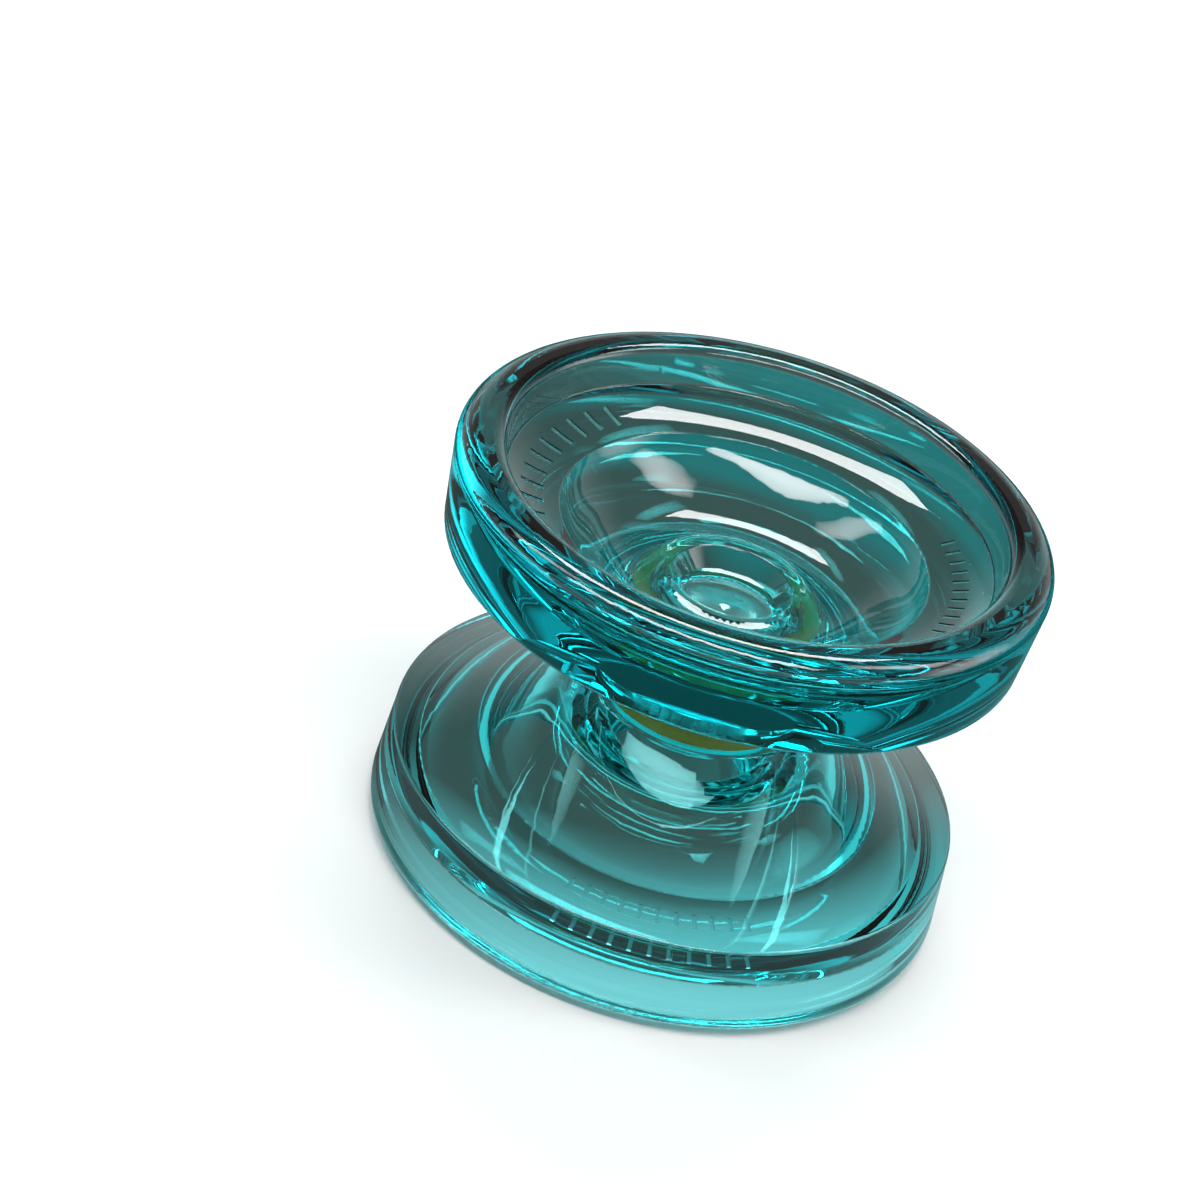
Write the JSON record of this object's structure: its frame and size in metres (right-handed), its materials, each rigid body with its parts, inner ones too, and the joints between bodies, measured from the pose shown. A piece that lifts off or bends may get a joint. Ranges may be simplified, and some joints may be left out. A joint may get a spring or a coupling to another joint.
{
  "type": "yo-yo",
  "caption": "Transparent flared yo-yo: two cupped plastic halves on an axle, ball bearing and soft pads in the string gap.",
  "frame": {"origin": "centre of the string gap, on the axle", "axes": "+Z along the axle, towards the upper half; +X and +Y lie in the middle plane of the string gap"},
  "size_m": [0.056, 0.056, 0.0416],
  "materials": {
    "clear_teal_plastic": "polished transparent teal polycarbonate, frosted in the engraved ticks",
    "insert_metal": "turned, knurled edge",
    "axle_steel": "blackened screw steel",
    "pad_silicone": "matt translucent yellow silicone",
    "bearing_steel": "ground and polished",
    "cage_metal": "stamped",
    "shield_steel": "satin"
  },
  "bodies": {
    "yoyo_body": {"upper_half": "clear_teal_plastic", "lower_half": "clear_teal_plastic", "upper_insert": "insert_metal", "lower_insert": "insert_metal", "axle": "axle_steel", "upper_pad": "pad_silicone", "lower_pad": "pad_silicone", "inner_ring": "bearing_steel"},
    "bearing_outer": {"outer_ring": "bearing_steel", "upper_shield": "shield_steel", "lower_shield": "shield_steel", "upper_snap_ring": "shield_steel", "lower_snap_ring": "shield_steel"},
    "bearing_cage": {"ball_cage": "cage_metal"},
    "bearing_ball_1": {"ball_1": "bearing_steel"},
    "bearing_ball_2": {"ball_2": "bearing_steel"},
    "bearing_ball_3": {"ball_3": "bearing_steel"},
    "bearing_ball_4": {"ball_4": "bearing_steel"},
    "bearing_ball_5": {"ball_5": "bearing_steel"},
    "bearing_ball_6": {"ball_6": "bearing_steel"},
    "bearing_ball_7": {"ball_7": "bearing_steel"},
    "bearing_ball_8": {"ball_8": "bearing_steel"}
  },
  "joints": [
    {"name": "bearing_spin", "type": "hinge", "parent": "yoyo_body", "child": "bearing_outer", "pos_m": [0, 0, 0], "axis": [0, 0, 1], "continuous": true},
    {"name": "cage_spin", "type": "hinge", "parent": "yoyo_body", "child": "bearing_cage", "pos_m": [0, 0, 0], "axis": [0, 0, 1], "continuous": true},
    {"name": "ball_1_spin", "type": "hinge", "parent": "bearing_cage", "child": "bearing_ball_1", "pos_m": [0.00476, 0, 0], "axis": [0, 0, 1], "continuous": true},
    {"name": "ball_2_spin", "type": "hinge", "parent": "bearing_cage", "child": "bearing_ball_2", "pos_m": [0.00337, 0.00337, 0], "axis": [0, 0, 1], "continuous": true},
    {"name": "ball_3_spin", "type": "hinge", "parent": "bearing_cage", "child": "bearing_ball_3", "pos_m": [0, 0.00476, 0], "axis": [0, 0, 1], "continuous": true},
    {"name": "ball_4_spin", "type": "hinge", "parent": "bearing_cage", "child": "bearing_ball_4", "pos_m": [-0.00337, 0.00337, 0], "axis": [0, 0, 1], "continuous": true},
    {"name": "ball_5_spin", "type": "hinge", "parent": "bearing_cage", "child": "bearing_ball_5", "pos_m": [-0.00476, 0, 0], "axis": [0, 0, 1], "continuous": true},
    {"name": "ball_6_spin", "type": "hinge", "parent": "bearing_cage", "child": "bearing_ball_6", "pos_m": [-0.00337, -0.00337, 0], "axis": [0, 0, 1], "continuous": true},
    {"name": "ball_7_spin", "type": "hinge", "parent": "bearing_cage", "child": "bearing_ball_7", "pos_m": [0, -0.00476, 0], "axis": [0, 0, 1], "continuous": true},
    {"name": "ball_8_spin", "type": "hinge", "parent": "bearing_cage", "child": "bearing_ball_8", "pos_m": [0.00337, -0.00337, 0], "axis": [0, 0, 1], "continuous": true}
  ],
  "couplings": [
    {"joint": "cage_spin", "follows": "bearing_spin", "ratio": 0.60499},
    {"joint": "ball_1_spin", "follows": "bearing_spin", "ratio": 2.2763},
    {"joint": "ball_2_spin", "follows": "bearing_spin", "ratio": 2.2763},
    {"joint": "ball_3_spin", "follows": "bearing_spin", "ratio": 2.2763},
    {"joint": "ball_4_spin", "follows": "bearing_spin", "ratio": 2.2763},
    {"joint": "ball_5_spin", "follows": "bearing_spin", "ratio": 2.2763},
    {"joint": "ball_6_spin", "follows": "bearing_spin", "ratio": 2.2763},
    {"joint": "ball_7_spin", "follows": "bearing_spin", "ratio": 2.2763},
    {"joint": "ball_8_spin", "follows": "bearing_spin", "ratio": 2.2763}
  ]
}
